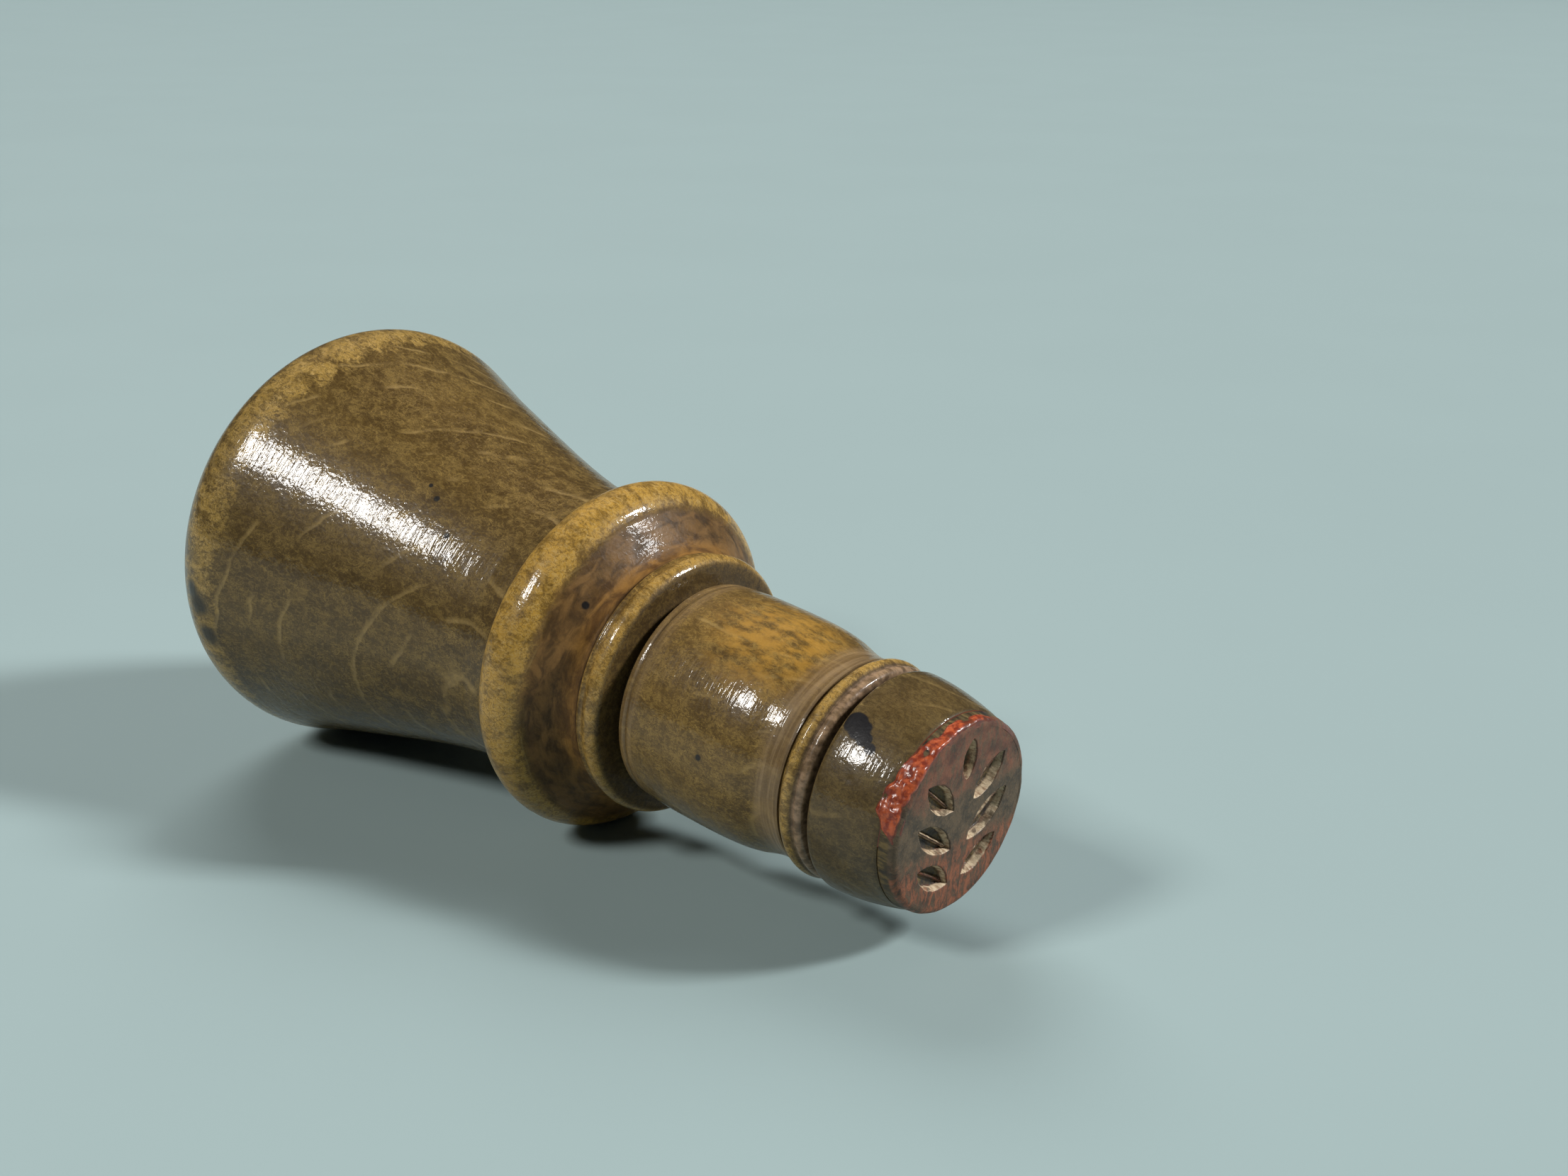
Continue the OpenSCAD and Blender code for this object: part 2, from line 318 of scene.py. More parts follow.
# ---------------------------------------------------------------- materials
class Shader:
    """A material with one Principled shader, and short calls for adding nodes."""

    def __init__(self, name, **settings):
        self.material = bpy.data.materials.new(name)
        self.material.use_nodes = True
        self.tree = self.material.node_tree
        self.surface = self.tree.nodes["Principled BSDF"]
        for key, value in settings.items():
            self.surface.inputs[key.replace("_", " ")].default_value = value
        coords = self.add("ShaderNodeTexCoord").outputs["Object"]
        turn = Matrix(TO_LATHE.tolist()).to_euler()
        shift = -(TO_LATHE @ FACE) / MM
        mapping = self.add("ShaderNodeMapping", Vector=coords, Location=shift.tolist(), Rotation=turn,
                           Scale=(1 / MM,) * 3)
        self.lathe = mapping.outputs[0]

    def add(self, kind, options=None, **inputs):
        """A new node, with its options set and its inputs fed by name."""
        node = self.tree.nodes.new(kind)
        for key, value in (options or {}).items():
            setattr(node, key, value)
        for key, value in inputs.items():
            self.feed(node.inputs[key.replace("_", " ")], value)
        return node

    def feed(self, socket, value):
        """Link a socket to another one, or set its value."""
        if isinstance(value, bpy.types.NodeSocket):
            self.tree.links.new(value, socket)
        else:
            socket.default_value = value

    def attribute(self, key):
        return self.add("ShaderNodeAttribute", {"attribute_name": key}).outputs["Fac"]

    def math(self, operation, a, b=0.0):
        node = self.add("ShaderNodeMath", {"operation": operation})
        for socket, value in zip(node.inputs, (a, b)):
            self.feed(socket, value)
        return node.outputs[0]

    def scaled(self, x, y, z):
        """Lathe coordinates with each axis stretched."""
        node = self.add("ShaderNodeVectorMath", {"operation": "MULTIPLY"})
        self.feed(node.inputs[0], self.lathe)
        self.feed(node.inputs[1], (x, y, z))
        return node.outputs[0]

    def noise(self, vector, detail=3.0, roughness=0.55, distortion=0.0, shift=0.0):
        """Noise from 0 to 1 at the given place, moved aside by shift for an independent pattern."""
        if shift:
            node = self.add("ShaderNodeVectorMath", {"operation": "ADD"})
            self.feed(node.inputs[0], vector)
            self.feed(node.inputs[1], (shift, 0.37 * shift, -0.81 * shift))
            vector = node.outputs[0]
        return self.add("ShaderNodeTexNoise", Vector=vector, Scale=1.0, Detail=detail,
                        Roughness=roughness, Distortion=distortion).outputs[0]

    def ramp(self, value, low, high, bottom=0.0, top=1.0):
        """bottom below low, top above high, and a smooth step between."""
        node = self.add("ShaderNodeMapRange", {"interpolation_type": "SMOOTHSTEP"}, Value=value,
                        From_Min=low, From_Max=high, To_Min=bottom, To_Max=top)
        return node.outputs[0]

    def mix(self, factor, a, b):
        """Colour a where the factor is 0 and colour b where it is 1."""
        node = self.add("ShaderNodeMix", {"data_type": "RGBA"})
        self.feed(node.inputs[0], factor)
        for socket, value in ((node.inputs[6], a), (node.inputs[7], b)):
            self.feed(socket, value if isinstance(value, bpy.types.NodeSocket) else (*value, 1.0))
        return node.outputs[2]

    def bump(self, height, distance, normal=None, strength=1.0):
        node = self.add("ShaderNodeBump", Height=height, Distance=distance, Strength=strength)
        if normal is not None:
            self.feed(node.inputs["Normal"], normal)
        return node.outputs[0]

    def coordinate(self, index):
        """One lathe coordinate in mm: 0 is upwards, 1 to the side, 2 back from the die face."""
        return self.add("ShaderNodeSeparateXYZ", Vector=self.lathe).outputs[index]

    def threads(self, vector, detail, distortion, shift, inner, outer, strength=1.0):
        """Thin curly lines, where a noise passes through its middle value."""
        value = self.noise(vector, detail, 0.5, distortion, shift)
        off_middle = self.math("ABSOLUTE", self.math("SUBTRACT", value, 0.5))
        return self.ramp(off_middle, inner, outer, strength, 0.0)

    def spot(self, z, angle, radius, size, edge=0.3):
        """1 inside a spot of the given size about a point of the turned surface, 0 outside."""
        a = math.radians(angle)
        node = self.add("ShaderNodeVectorMath", {"operation": "DISTANCE"})
        self.feed(node.inputs[0], self.lathe)
        self.feed(node.inputs[1], (radius * math.cos(a), radius * math.sin(a), z))
        return self.ramp(node.outputs["Value"], size * (1 - edge), size * (1 + edge), 1.0, 0.0)

    def finish(self, colour, roughness, normal):
        """Feed the surface and hand over the material."""
        self.feed(self.surface.inputs["Base Color"], colour)
        self.feed(self.surface.inputs["Roughness"], roughness)
        self.feed(self.surface.inputs["Normal"], normal)
        self.feed(self.surface.inputs["Coat Normal"], normal)
        return self.material


# Where the tree's centre lies beside the turning axis and how far apart its rings are, in mm
PITH = (-1.56, -3.35)
RING = 1.04
# The colour of bare fibres, and the weight of the varnish where it is clean
PALE_FIBRE = (0.44, 0.30, 0.11)
VARNISH_WEIGHT = 0.66


def growth_rings(s):
    """Thin growth rings about the pith, which show only in places."""
    offset = s.add("ShaderNodeVectorMath", {"operation": "SUBTRACT"})
    s.feed(offset.inputs[0], s.scaled(1.0, 1.0, 0.0))
    s.feed(offset.inputs[1], (*PITH, 0.0))
    length = s.add("ShaderNodeVectorMath", {"operation": "LENGTH"})
    s.feed(length.inputs[0], offset.outputs[0])
    wave = s.math("MULTIPLY", s.noise(s.scaled(0.3, 0.3, 0.12), 2.0, shift=21.0), 0.55)
    ring = s.math("FRACT", s.math("DIVIDE", s.math("ADD", length.outputs["Value"], wave), RING))
    line = s.math("MULTIPLY", s.ramp(ring, 0.0, 0.05), s.ramp(ring, 0.06, 0.20, 1.0, 0.0))
    shown = s.ramp(s.noise(s.scaled(0.22, 0.22, 0.22), 2.0, shift=31.0), 0.45, 0.62)
    return s.math("MULTIPLY", line, shown)


def wood(name, dark, base, light, worn, grime_and_shade, marks=None, ring_strength=0.3):
    """Fine-grained varnished wood, worn golden on its crests, its grooves darkened by grime and painted
    shade.

    marks adds a section's own stains. It takes the shader and the colour so far, and returns the
    new colour and how much of the varnish's gloss is lost there.
    """
    s = Shader(name, Coat_Roughness=0.085, Coat_IOR=1.45, Specular_IOR_Level=0.18)
    blotch = s.noise(s.scaled(0.13, 0.13, 0.09), 2.0)
    mottle = s.noise(s.scaled(0.8, 0.8, 0.55), 3.0, 0.55, shift=7.0)
    curl = s.noise(s.scaled(2.6, 2.6, 1.7), 3.0, 0.6, 0.9, shift=3.0)
    fleck = s.noise(s.scaled(6.0, 6.0, 3.4), 2.0, 0.5, 0.6, shift=13.0)
    colour = s.mix(s.ramp(blotch, 0.38, 0.62), dark, base)
    colour = s.mix(s.math("MULTIPLY", s.ramp(mottle, 0.45, 0.70), 0.45), colour, light)
    colour = s.mix(s.math("MULTIPLY", s.ramp(mottle, 0.28, 0.46, 1.0, 0.0), 0.45), colour, dark)
    colour = s.mix(s.math("MULTIPLY", s.ramp(curl, 0.48, 0.64), 0.5), colour, light)
    colour = s.mix(s.math("MULTIPLY", s.ramp(curl, 0.34, 0.50, 1.0, 0.0), 0.55), colour, dark)
    colour = s.mix(s.math("MULTIPLY", s.ramp(fleck, 0.56, 0.70), 0.25), colour, dark)

    # Pale threads and dark veins
    coarse = s.threads(s.scaled(1.35, 1.35, 0.8), 1.5, 1.7, 23.0, 0.004, 0.03)
    finer = s.threads(s.scaled(2.7, 2.7, 1.7), 1.0, 1.5, 33.0, 0.004, 0.035, 0.7)
    thread = s.math("MAXIMUM", coarse, finer)
    colour = s.mix(s.math("MULTIPLY", thread, s.ramp(mottle, 0.40, 0.60, 0.3, 0.95)), colour, light)

    vein = s.threads(s.scaled(1.9, 1.9, 1.2), 1.5, 1.8, 43.0, 0.006, 0.04)
    vein = s.math("MULTIPLY", vein, s.ramp(blotch, 0.3, 0.6, 0.35, 0.75))
    colour = s.mix(vein, colour, dark)

    colour = s.mix(s.math("MULTIPLY", growth_rings(s), ring_strength), colour, PALE_FIBRE)

    # Golden where hands have worn the crests, with fibres showing through across them
    wear = s.math("ADD", s.attribute("wear"), s.math("MULTIPLY", s.math("SUBTRACT", mottle, 0.5), 0.9))
    wear = s.math("ADD", wear, s.math("MULTIPLY", s.math("SUBTRACT", curl, 0.5), 0.9))
    wear = s.ramp(wear, 0.25, 0.75)
    fibre = s.noise(s.scaled(3.4, 3.4, 0.5), 2.0, 0.6, 0.4, shift=17.0)
    golden = s.mix(s.math("MULTIPLY", s.ramp(mottle, 0.35, 0.55, 1.0, 0.0), 0.6), worn, base)
    golden = s.mix(s.math("MULTIPLY", s.ramp(curl, 0.36, 0.54, 1.0, 0.0), 0.6), golden, base)
    golden = s.mix(s.math("MULTIPLY", s.ramp(fibre, 0.54, 0.66), 0.35), golden, PALE_FIBRE)
    golden = s.mix(s.math("MULTIPLY", thread, 0.6), golden, PALE_FIBRE)
    golden = s.mix(vein, golden, dark)
    colour = s.mix(s.math("MULTIPLY", wear, 0.9), colour, golden)

    dull = 0.0
    if marks:
        colour, dull = marks(s, colour)
    # Grime and painted shade in the grooves: a darker colour, a rougher surface and less varnish
    dirt_and_shade = s.math("MULTIPLY", s.attribute("grime_and_shade"), s.ramp(mottle, 0.2, 0.6, 0.8, 1.0))
    colour = s.mix(dirt_and_shade, colour, grime_and_shade)

    rough = s.ramp(mottle, 0.3, 0.7, 0.40, 0.55)
    rough = s.math("ADD", rough, s.math("MULTIPLY", dirt_and_shade, 0.25))
    polish = s.math("SUBTRACT", 1.0, s.math("MULTIPLY", s.math("MAXIMUM", dirt_and_shade, dull), 0.85))
    s.feed(s.surface.inputs["Coat Weight"], s.math("MULTIPLY", polish, VARNISH_WEIGHT))

    # Tool ridges round the wood, and the uneven skin of the varnish
    ridges = s.noise(s.scaled(0.35, 0.35, 3.2), 2.0, 0.5, 0.5, shift=41.0)
    cells = s.noise(s.scaled(2.4, 2.4, 2.4), 2.0, 0.5, 0.5, shift=51.0)
    normal = s.bump(ridges, 0.052 * MM, strength=0.6)
    normal = s.bump(cells, 0.045 * MM, normal, strength=0.6)
    normal = s.bump(fleck, 0.006 * MM, normal, strength=0.4)
    return s.finish(colour, rough, normal)


# Marks on single spots: mm back from the die face, degrees from the top, radius and size in mm
RIM_STAINS = ((69.9, -97, 19.4, 1.25), (69.3, -106, 19.4, 1.1), (70.7, -93, 19.3, 0.8))
KNOB_PITS = ((51.0, -37, 14.0, 0.28), (52.3, -34, 14.3, 0.2), (48.0, -47, 13.4, 0.3))
WARM_PATCH = (17.6, -14, 9.4, 5.0)
BARREL_PIT = (18.3, -86.5, 9.47, 0.27)
COLLAR_PIT = (32.2, -47, 11.95, 0.33)
BLOT = ((6.6, -38.5, 9.0, 0.85), (6.0, -41.0, 8.98, 0.85), (5.3, -44.0, 8.9, 0.6), (4.5, -47.0, 8.75, 0.42))


def knob_marks(s, colour):
    """Dark stains on the knob's rim and a few pits."""
    black = (0.012, 0.010, 0.008)
    for z, angle, radius, size in RIM_STAINS:
        ragged = s.math("MULTIPLY", s.spot(z, angle, radius, size, 0.6), 0.92)
        colour = s.mix(ragged, colour, black)
    for pit in KNOB_PITS:
        colour = s.mix(s.spot(*pit), colour, black)
    return colour, 0.0


def barrel_marks(s, colour):
    """A warm patch along the top, a painted highlight over the hollow at the barrel's front, the pale back
    lip, and a pit.
    """
    warm = s.math("MULTIPLY", s.spot(*WARM_PATCH, 0.5),
                  s.ramp(s.noise(s.scaled(1.2, 1.2, 0.5), 4.0, 0.65, shift=61.0), 0.36, 0.62))
    colour = s.mix(s.math("MULTIPLY", warm, 0.7), colour, (0.37, 0.195, 0.030))
    out = s.coordinate(2)
    # Painted highlight: the hollow at the front is made pale all round; the back lip is paler wood
    cove_highlight = s.math("MULTIPLY", s.ramp(out, 12.4, 13.9, 1.0, 0.0), 0.65)
    lip = s.math("MULTIPLY", s.ramp(out, 24.6, 26.2), 0.4)
    turned = s.ramp(s.noise(s.scaled(0.15, 0.15, 3.0), 2.0, shift=65.0), 0.35, 0.65)
    # One pale tone for the back lip and for the painted highlight on the hollow
    pale = s.mix(turned, (0.135, 0.084, 0.040), (0.270, 0.180, 0.094))
    colour = s.mix(s.math("MAXIMUM", cove_highlight, lip), colour, pale)
    return s.mix(s.spot(*BARREL_PIT), colour, (0.014, 0.008, 0.005)), 0.0


def collar_marks(s, colour):
    """The purple-brown hollow slope in front of the golden bead, redder at its foot, and a pit."""
    out = s.coordinate(2)
    ragged = s.math("ADD", out, s.math("MULTIPLY", s.noise(s.scaled(0.6, 0.6, 0.6)), 0.5))
    slope = s.ramp(ragged, 33.5, 34.1, 1.0, 0.0)
    foot = s.ramp(ragged, 31.2, 32.6, 1.0, 0.0)
    grain = s.ramp(s.noise(s.scaled(0.5, 0.5, 1.5), 4.0, 0.6, 0.6, 5.0), 0.32, 0.68)
    plum = s.mix(grain, (0.042, 0.022, 0.009), (0.165, 0.086, 0.028))
    red = s.mix(grain, (0.095, 0.043, 0.012), (0.290, 0.142, 0.032))
    colour = s.mix(s.math("MULTIPLY", slope, 0.92), colour, s.mix(foot, plum, red))
    return s.mix(s.spot(*COLLAR_PIT), colour, (0.008, 0.006, 0.005)), slope


def neck_marks(s, colour):
    """The purple-brown front bead of the neck ring."""
    out = s.coordinate(2)
    front = s.math("MULTIPLY", s.ramp(out, 9.1, 9.5, 1.0, 0.0), 0.85)
    grain = s.ramp(s.noise(s.scaled(2.0, 2.0, 1.0), 3.0, shift=5.0), 0.35, 0.65)
    return s.mix(front, colour, s.mix(grain, (0.098, 0.061, 0.037), (0.285, 0.185, 0.114))), 0.0


def head_marks(s, colour):
    """A black blot with a tail."""
    blot = 0.0
    for part in BLOT:
        blot = s.math("MAXIMUM", blot, s.spot(*part, 0.85))
    ragged = s.noise(s.scaled(0.9, 0.9, 0.9), 1.5, 0.45, shift=71.0)
    ragged = s.math("MULTIPLY", s.math("SUBTRACT", ragged, 0.5), 0.6)
    blot = s.ramp(s.math("ADD", blot, ragged), 0.32, 0.52)
    colour = s.mix(s.math("MULTIPLY", blot, 0.97), colour, (0.007, 0.007, 0.009))
    return colour, s.math("MULTIPLY", blot, 0.5)


# Each wood: dark, base, light and worn colours, then the colour of grime and painted shade in its grooves
materials = {
    "palm_knob": wood("knob_wood", (0.056, 0.032, 0.008), (0.096, 0.057, 0.014), (0.195, 0.125, 0.034),
                      (0.30, 0.186, 0.041), (0.020, 0.012, 0.005), knob_marks),
    "collar": wood("collar_wood", (0.105, 0.057, 0.011), (0.180, 0.100, 0.018), (0.31, 0.182, 0.036),
                   (0.40, 0.228, 0.038), (0.018, 0.010, 0.005), collar_marks),
    "bead_ring": wood("bead_wood", (0.092, 0.051, 0.012), (0.168, 0.096, 0.020), (0.27, 0.160, 0.037),
                      (0.36, 0.208, 0.041), (0.010, 0.006, 0.004)),
    "barrel": wood("barrel_wood", (0.076, 0.043, 0.011), (0.132, 0.077, 0.019), (0.250, 0.156, 0.040),
                   (0.33, 0.198, 0.046), (0.012, 0.008, 0.004), barrel_marks),
    "neck_ring": wood("neck_wood", (0.088, 0.050, 0.014), (0.150, 0.089, 0.024), (0.24, 0.149, 0.039),
                      (0.36, 0.215, 0.048), (0.010, 0.006, 0.004), neck_marks),
    "head": wood("head_wood", (0.046, 0.029, 0.010), (0.080, 0.050, 0.016), (0.125, 0.083, 0.027),
                 (0.23, 0.15, 0.050), (0.010, 0.007, 0.004), head_marks, 0.15),
}


# ---------------------------------------------------------------- the turned sections
# Each wear function gives the wear besides that of the crests, at z mm back and an angle theta.
def knob_wear(z, theta):
    """The rim that the palm holds."""
    uneven = 0.5 * np.cos(theta * 2.0 + 0.6)
    return 0.62 * smooth(66.0, 69.0, z + uneven) * (1.0 - 0.8 * smooth(70.8, 73.0, z))


def collar_wear(z, _theta):
    """The golden bead of the collar, all the way round."""
    return 0.55 * smooth(33.3, 33.9, z)


def bead_wear(_z, _theta):
    """The two small rings, evenly all over."""
    return 0.35


# Node, step along the outline in mm, points around, seed, slot, dents (seed, count, from, to,
# widest), wear, darkened bands of grime and painted shade (from, to, strength), and where a blind bore ends
SECTIONS = (
    ("palm_knob", 0.26, 352, 11, "dark_wood", (3, 26, 42.0, 74.0, 1.1), knob_wear,
     ((38.9, 39.6, 0.9),), 56.0),
    ("collar", 0.16, 420, 23, "light_wood", (5, 12, 31.0, 38.0, 0.7), collar_wear,
     ((30.4, 30.75, 0.8), (38.75, 39.1, 0.9)), None),
    ("bead_ring", 0.09, 400, 31, "light_wood", (6, 5, 28.2, 29.8, 0.5), bead_wear,
     ((27.5, 28.2, 0.7), (30.0, 30.12, 0.6)), None),
    ("barrel", 0.17, 400, 43, "dark_wood", (8, 10, 12.0, 26.0, 0.8), None,
     ((10.7, 11.0, 0.4), (26.3, 26.45, 0.6), (27.3, 27.7, 0.8)), None),
    ("neck_ring", 0.08, 400, 53, "light_wood", (9, 5, 8.5, 10.5, 0.4), bead_wear,
     ((8.0, 8.3, 0.7), (9.22, 9.38, 0.7)), None),
    ("head", 0.12, 400, 61, "dark_wood", (10, 8, 2.0, 7.6, 0.6), None,
     ((7.95, 8.2, 0.7),), None),
)
for node, step, segments, seed, slot, dents, wear, soot_and_shade, blind_end in SECTIONS:
    turned_piece(node, step, segments, seed, materials[node], slot, dents_of(*dents), wear, soot_and_shade,
                 blind_end)


# ---------------------------------------------------------------- the carved die
# The sprig's recesses as in the CAD: length, width, turn, up, right, and the height of the rib
# left standing along the leaf, against the recess's depth.
SPRIG = (
    (3.4, 1.7, 4, 4.9, 0.1, 0.0),
    (4.5, 2.1, 48, 2.75, 2.85, 0.5),
    (4.7, 2.2, 130, 2.5, -2.95, 0.45),
    (5.5, 2.3, 54, -0.6, 3.2, 0.5),
    (5.3, 2.2, 124, -0.85, -3.1, 0.55),
    (4.5, 2.0, 58, -3.95, 2.75, 0.45),
    (4.7, 2.1, 120, -4.15, -2.75, 0.4),
)
# In mm: the cuts' depth, the rounding of the die's rim, its radius and back, the tenon's radius and
# end, the flat part of the face, and the bulge of the side as (back from the face, radius)
CARVE_DEPTH = 0.9
DIE_EDGE = 0.6
DIE_SIDE = 7.9
DIE_BACK = 1.6
TENON_RADIUS = 2.998
TENON_END = 4.0
FLAT_RADIUS = DIE_SIDE - DIE_EDGE
DIE_FLANK = ((1.0, 7.93), (1.45, 7.97), (1.56, 7.93), (DIE_BACK, 7.86))
# How finely the face is divided, and the step in mm over which a cut's slope is measured
DIE_SEGMENTS = 720
DIE_RINGS = 100
SLOPE_STEP = 0.05


def carved(x, y):
    """Depth of the knife-cut sprig below the face, in mm."""
    spot = np.stack([x, y, 0 * x], axis=-1)
    chips = 0.07 * cloud(spot, 0.55, 71, 2)
    depth = np.zeros_like(x)
    for length, width, turn, up, right, rib in SPRIG:
        c, s = math.cos(math.radians(turn)), math.sin(math.radians(turn))
        u, v = (x - up) * c + (y - right) * s, (y - right) * c - (x - up) * s
        side = (length ** 2 + width ** 2) / (4 * width)
        half = np.sqrt(np.maximum(side ** 2 - u ** 2, 0.0)) - (side - width / 2)
        inside = half - np.abs(v) + chips
        wall = smooth(0.0, 0.30, inside)
        strokes = 0.07 * cloud(np.stack([u * 0.9, v * 4.0, 0 * u + turn], axis=-1), 0.9, 83, 2)
        floor_share = 0.80 + 0.2 * smooth(0.1, 0.9, inside / (0.5 * width)) + strokes
        spine = rib * np.exp(-(v / 0.15) ** 2) * smooth(0.46 * length, 0.40 * length, np.abs(u))
        depth = np.maximum(depth, wall * np.clip(floor_share - spine, 0.05, 1.0))
    return CARVE_DEPTH * depth


def die_plate():
    """The carved end-grain disc, its chipped rim, its side and its tenon."""
    theta = np.linspace(-math.pi, math.pi, DIE_SEGMENTS, endpoint=False)
    radii = np.linspace(0.0, FLAT_RADIUS, DIE_RINGS)[1:]
    rows, depth, wall = [], [], []

    def add(z, radius, row_depth=None, row_wall=None):
        """Add a ring, with how deep it lies in a cut and how steep the wall is there."""
        none = np.zeros(DIE_SEGMENTS)
        rows.append(polar(z + none, radius + none, theta))
        depth.append(none if row_depth is None else row_depth)
        wall.append(none if row_wall is None else row_wall)

    def height(x, y):
        """How far the worn and carved face lies behind the die mount, in mm."""
        spot = np.stack([x, y, 0 * x], axis=-1)
        worn = 0.03 * (0.5 + 0.5 * cloud(spot, 3.0, 91, 3))
        rim = 0.05 * smooth(6.2, FLAT_RADIUS, np.hypot(x, y))
        return worn + rim + carved(x, y)

    rows.append(np.array([[0.0, 0.0, float(height(np.zeros(1), np.zeros(1))[0])]]))
    depth.append(np.zeros(1))
    wall.append(np.zeros(1))
    for radius in radii:
        x, y = radius * np.cos(theta), radius * np.sin(theta)
        z = height(x, y)
        cut = carved(x, y)
        slope = np.hypot(carved(x + SLOPE_STEP, y) - cut, carved(x, y + SLOPE_STEP) - cut) / SLOPE_STEP
        add(z, radius, cut / CARVE_DEPTH, np.clip(slope / 3.0, 0.0, 1.0))
    for angle in np.radians(np.arange(5, 91, 8.5)):
        edge = polar(0 * theta, 7.6 + 0 * theta, theta)
        chip = 0.05 * np.clip(cloud(edge, 1.6, 97, 2) + 0.2, 0.0, 1.0) + 0.05 * (1 - math.sin(angle))
        add(DIE_EDGE - DIE_EDGE * math.cos(angle) + chip, FLAT_RADIUS + DIE_EDGE * math.sin(angle) - chip)
    for z, radius in DIE_FLANK:
        add(z, radius)
    add(DIE_BACK, TENON_RADIUS + 0.3)
    add(DIE_BACK, TENON_RADIUS)
    add(TENON_END, TENON_RADIUS)
    rows.append(np.array([[0.0, 0.0, TENON_END]]))
    depth.append(np.zeros(1))
    wall.append(np.zeros(1))
    values = {"depth": np.concatenate(depth), "wall": np.concatenate(wall)}
    build("die_plate", rows, False, die_wood(), "die_wood", "die_plate", values)


def die_wood():
    """Grey-brown end grain with red ink rubbed into it and pale fresh-cut walls."""
    s = Shader("die_end_grain", Coat_Weight=0.15, Coat_Roughness=0.3, Specular_IOR_Level=0.35)
    up, out = s.coordinate(0), s.coordinate(2)
    patch = s.noise(s.scaled(0.55, 0.55, 0.3), 4.0, 0.6)
    fine = s.noise(s.scaled(3.2, 3.2, 1.0), 3.0, 0.6, shift=5.0)
    pores = s.noise(s.scaled(8.0, 8.0, 1.0), 2.0, 0.5, shift=9.0)
    colour = s.mix(s.ramp(patch, 0.35, 0.65), (0.034, 0.023, 0.012), (0.095, 0.062, 0.032))
    colour = s.mix(s.math("MULTIPLY", s.ramp(fine, 0.45, 0.7), 0.5), colour, (0.15, 0.105, 0.062))
    # Red ink left over the upper face and, browner and more of it, over the lower one
    above = s.ramp(s.math("ADD", up, s.math("MULTIPLY", patch, 6.0)), 4.2, 7.4)
    below = s.ramp(s.math("ADD", up, s.math("MULTIPLY", patch, -4.0)), -5.8, -3.0, 1.0, 0.0)
    streak = s.noise(s.scaled(0.9, 2.2, 1.0), 4.0, 0.6, 0.8, shift=19.0)
    worn_ink = s.ramp(streak, 0.36, 0.58, 0.2, 0.9)
    colour = s.mix(s.math("MULTIPLY", above, s.math("MULTIPLY", worn_ink, 0.8)), colour,
                   s.mix(s.ramp(patch, 0.35, 0.65), (0.090, 0.026, 0.013), (0.20, 0.062, 0.030)))
    colour = s.mix(s.math("MULTIPLY", below, worn_ink), colour,
                   s.mix(s.ramp(streak, 0.38, 0.62), (0.075, 0.024, 0.012), (0.25, 0.080, 0.034)))
    # Cut recesses: pale walls, dark red floors
    deep = s.attribute("depth")
    wall = s.attribute("wall")
    floor_red = s.mix(s.ramp(fine, 0.4, 0.65), (0.024, 0.006, 0.005), (0.16, 0.030, 0.015))
    floor_red = s.mix(s.ramp(patch, 0.54, 0.66), floor_red, (0.16, 0.085, 0.050))
    colour = s.mix(s.ramp(deep, 0.35, 0.8), colour, floor_red)
    stained = s.ramp(s.noise(s.scaled(0.9, 0.9, 1.3), 3.0, shift=15.0), 0.48, 0.62, 0.97, 0.2)
    cream = s.mix(s.ramp(fine, 0.3, 0.6), (0.34, 0.22, 0.13), (0.68, 0.54, 0.36))
    steep = s.math("MULTIPLY", s.ramp(wall, 0.45, 0.85), s.ramp(deep, 0.95, 0.75, 0.4, 1.0))
    colour = s.mix(s.math("MULTIPLY", steep, stained), colour, cream)
    colour = s.mix(s.math("MULTIPLY", s.ramp(pores, 0.60, 0.70), 0.5), colour, (0.010, 0.007, 0.006))
    # The die's side is varnished like the head behind it
    side = s.ramp(out, 0.5, 0.8)
    brown = s.mix(s.ramp(fine, 0.35, 0.65), (0.036, 0.024, 0.009), (0.130, 0.088, 0.030))
    lower = s.mix(s.ramp(patch, 0.3, 0.55), (0.008, 0.006, 0.006), brown)
    colour = s.mix(side, colour, lower)
    normal = s.bump(fine, 0.08 * MM, strength=0.5)
    normal = s.bump(pores, 0.03 * MM, normal, strength=0.4)
    return s.finish(colour, s.ramp(fine, 0.3, 0.7, 0.5, 0.75), normal)


die_plate()


# ---------------------------------------------------------------- dried ink on the rim
# Degrees from the top, how far back over the rim the ink reaches there, and how thick it is, in mm
INK_REACH = ((-90, 0.5, 0.0), (-86, 1.1, 0.10), (-80, 1.7, 0.22), (-72, 2.5, 0.36), (-64, 2.45, 0.34),
             (-55, 2.3, 0.30), (-46, 2.15, 0.26), (-35, 1.85, 0.23), (-23, 1.6, 0.20), (-10, 1.45, 0.17),
             (3, 1.45, 0.15), (12, 1.25, 0.12), (20, 0.95, 0.08), (32, 0.6, 0.05), (45, 0.4, 0.0))
# The skin's angles (from, to, step), how far in on the face its path starts and how deep in the
# wood its underside lies, in mm
INK_TURN = (-92.0, 50.0, 0.35)
INK_START = 0.3
INK_ROOT = 0.14


